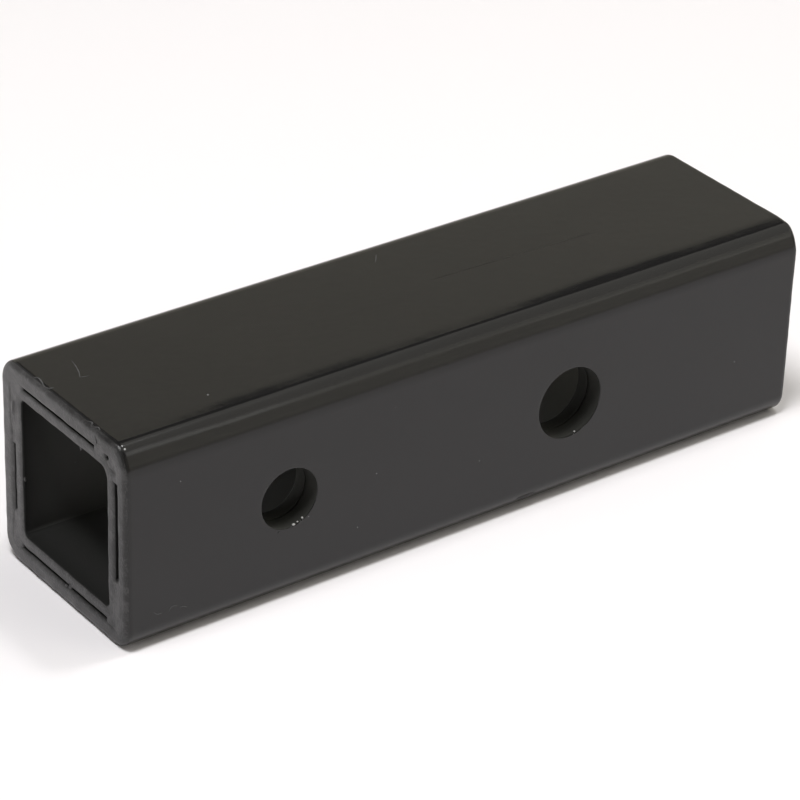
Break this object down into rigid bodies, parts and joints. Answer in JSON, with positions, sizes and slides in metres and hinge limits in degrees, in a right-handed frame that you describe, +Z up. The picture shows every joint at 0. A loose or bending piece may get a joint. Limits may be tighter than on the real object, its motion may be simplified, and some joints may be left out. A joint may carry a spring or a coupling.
{
  "type": "hitch receiver adapter",
  "caption": "Square steel sleeve that lets a small ball mount fit a larger tow hitch receiver, with a cross pin hole near the mouth and another for the receiver.",
  "frame": {"origin": "centre of the footprint, on the bottom face that the adapter lies on", "axes": "+X along the tube, from the mouth to the rear end, +Y across it along the cross pins, +Z up"},
  "size_m": [0.188, 0.0508, 0.0508],
  "materials": {
    "black_paint": "gloss black paint, thin and slightly uneven",
    "sleeve_paint": "gloss black paint, thin inside the socket",
    "weld_paint": "gloss black paint over ground weld"
  },
  "bodies": {
    "root": {"outer_tube": "black_paint", "sleeve": "sleeve_paint", "mouth_weld": "weld_paint", "rear_weld": "weld_paint"}
  },
  "joints": []
}
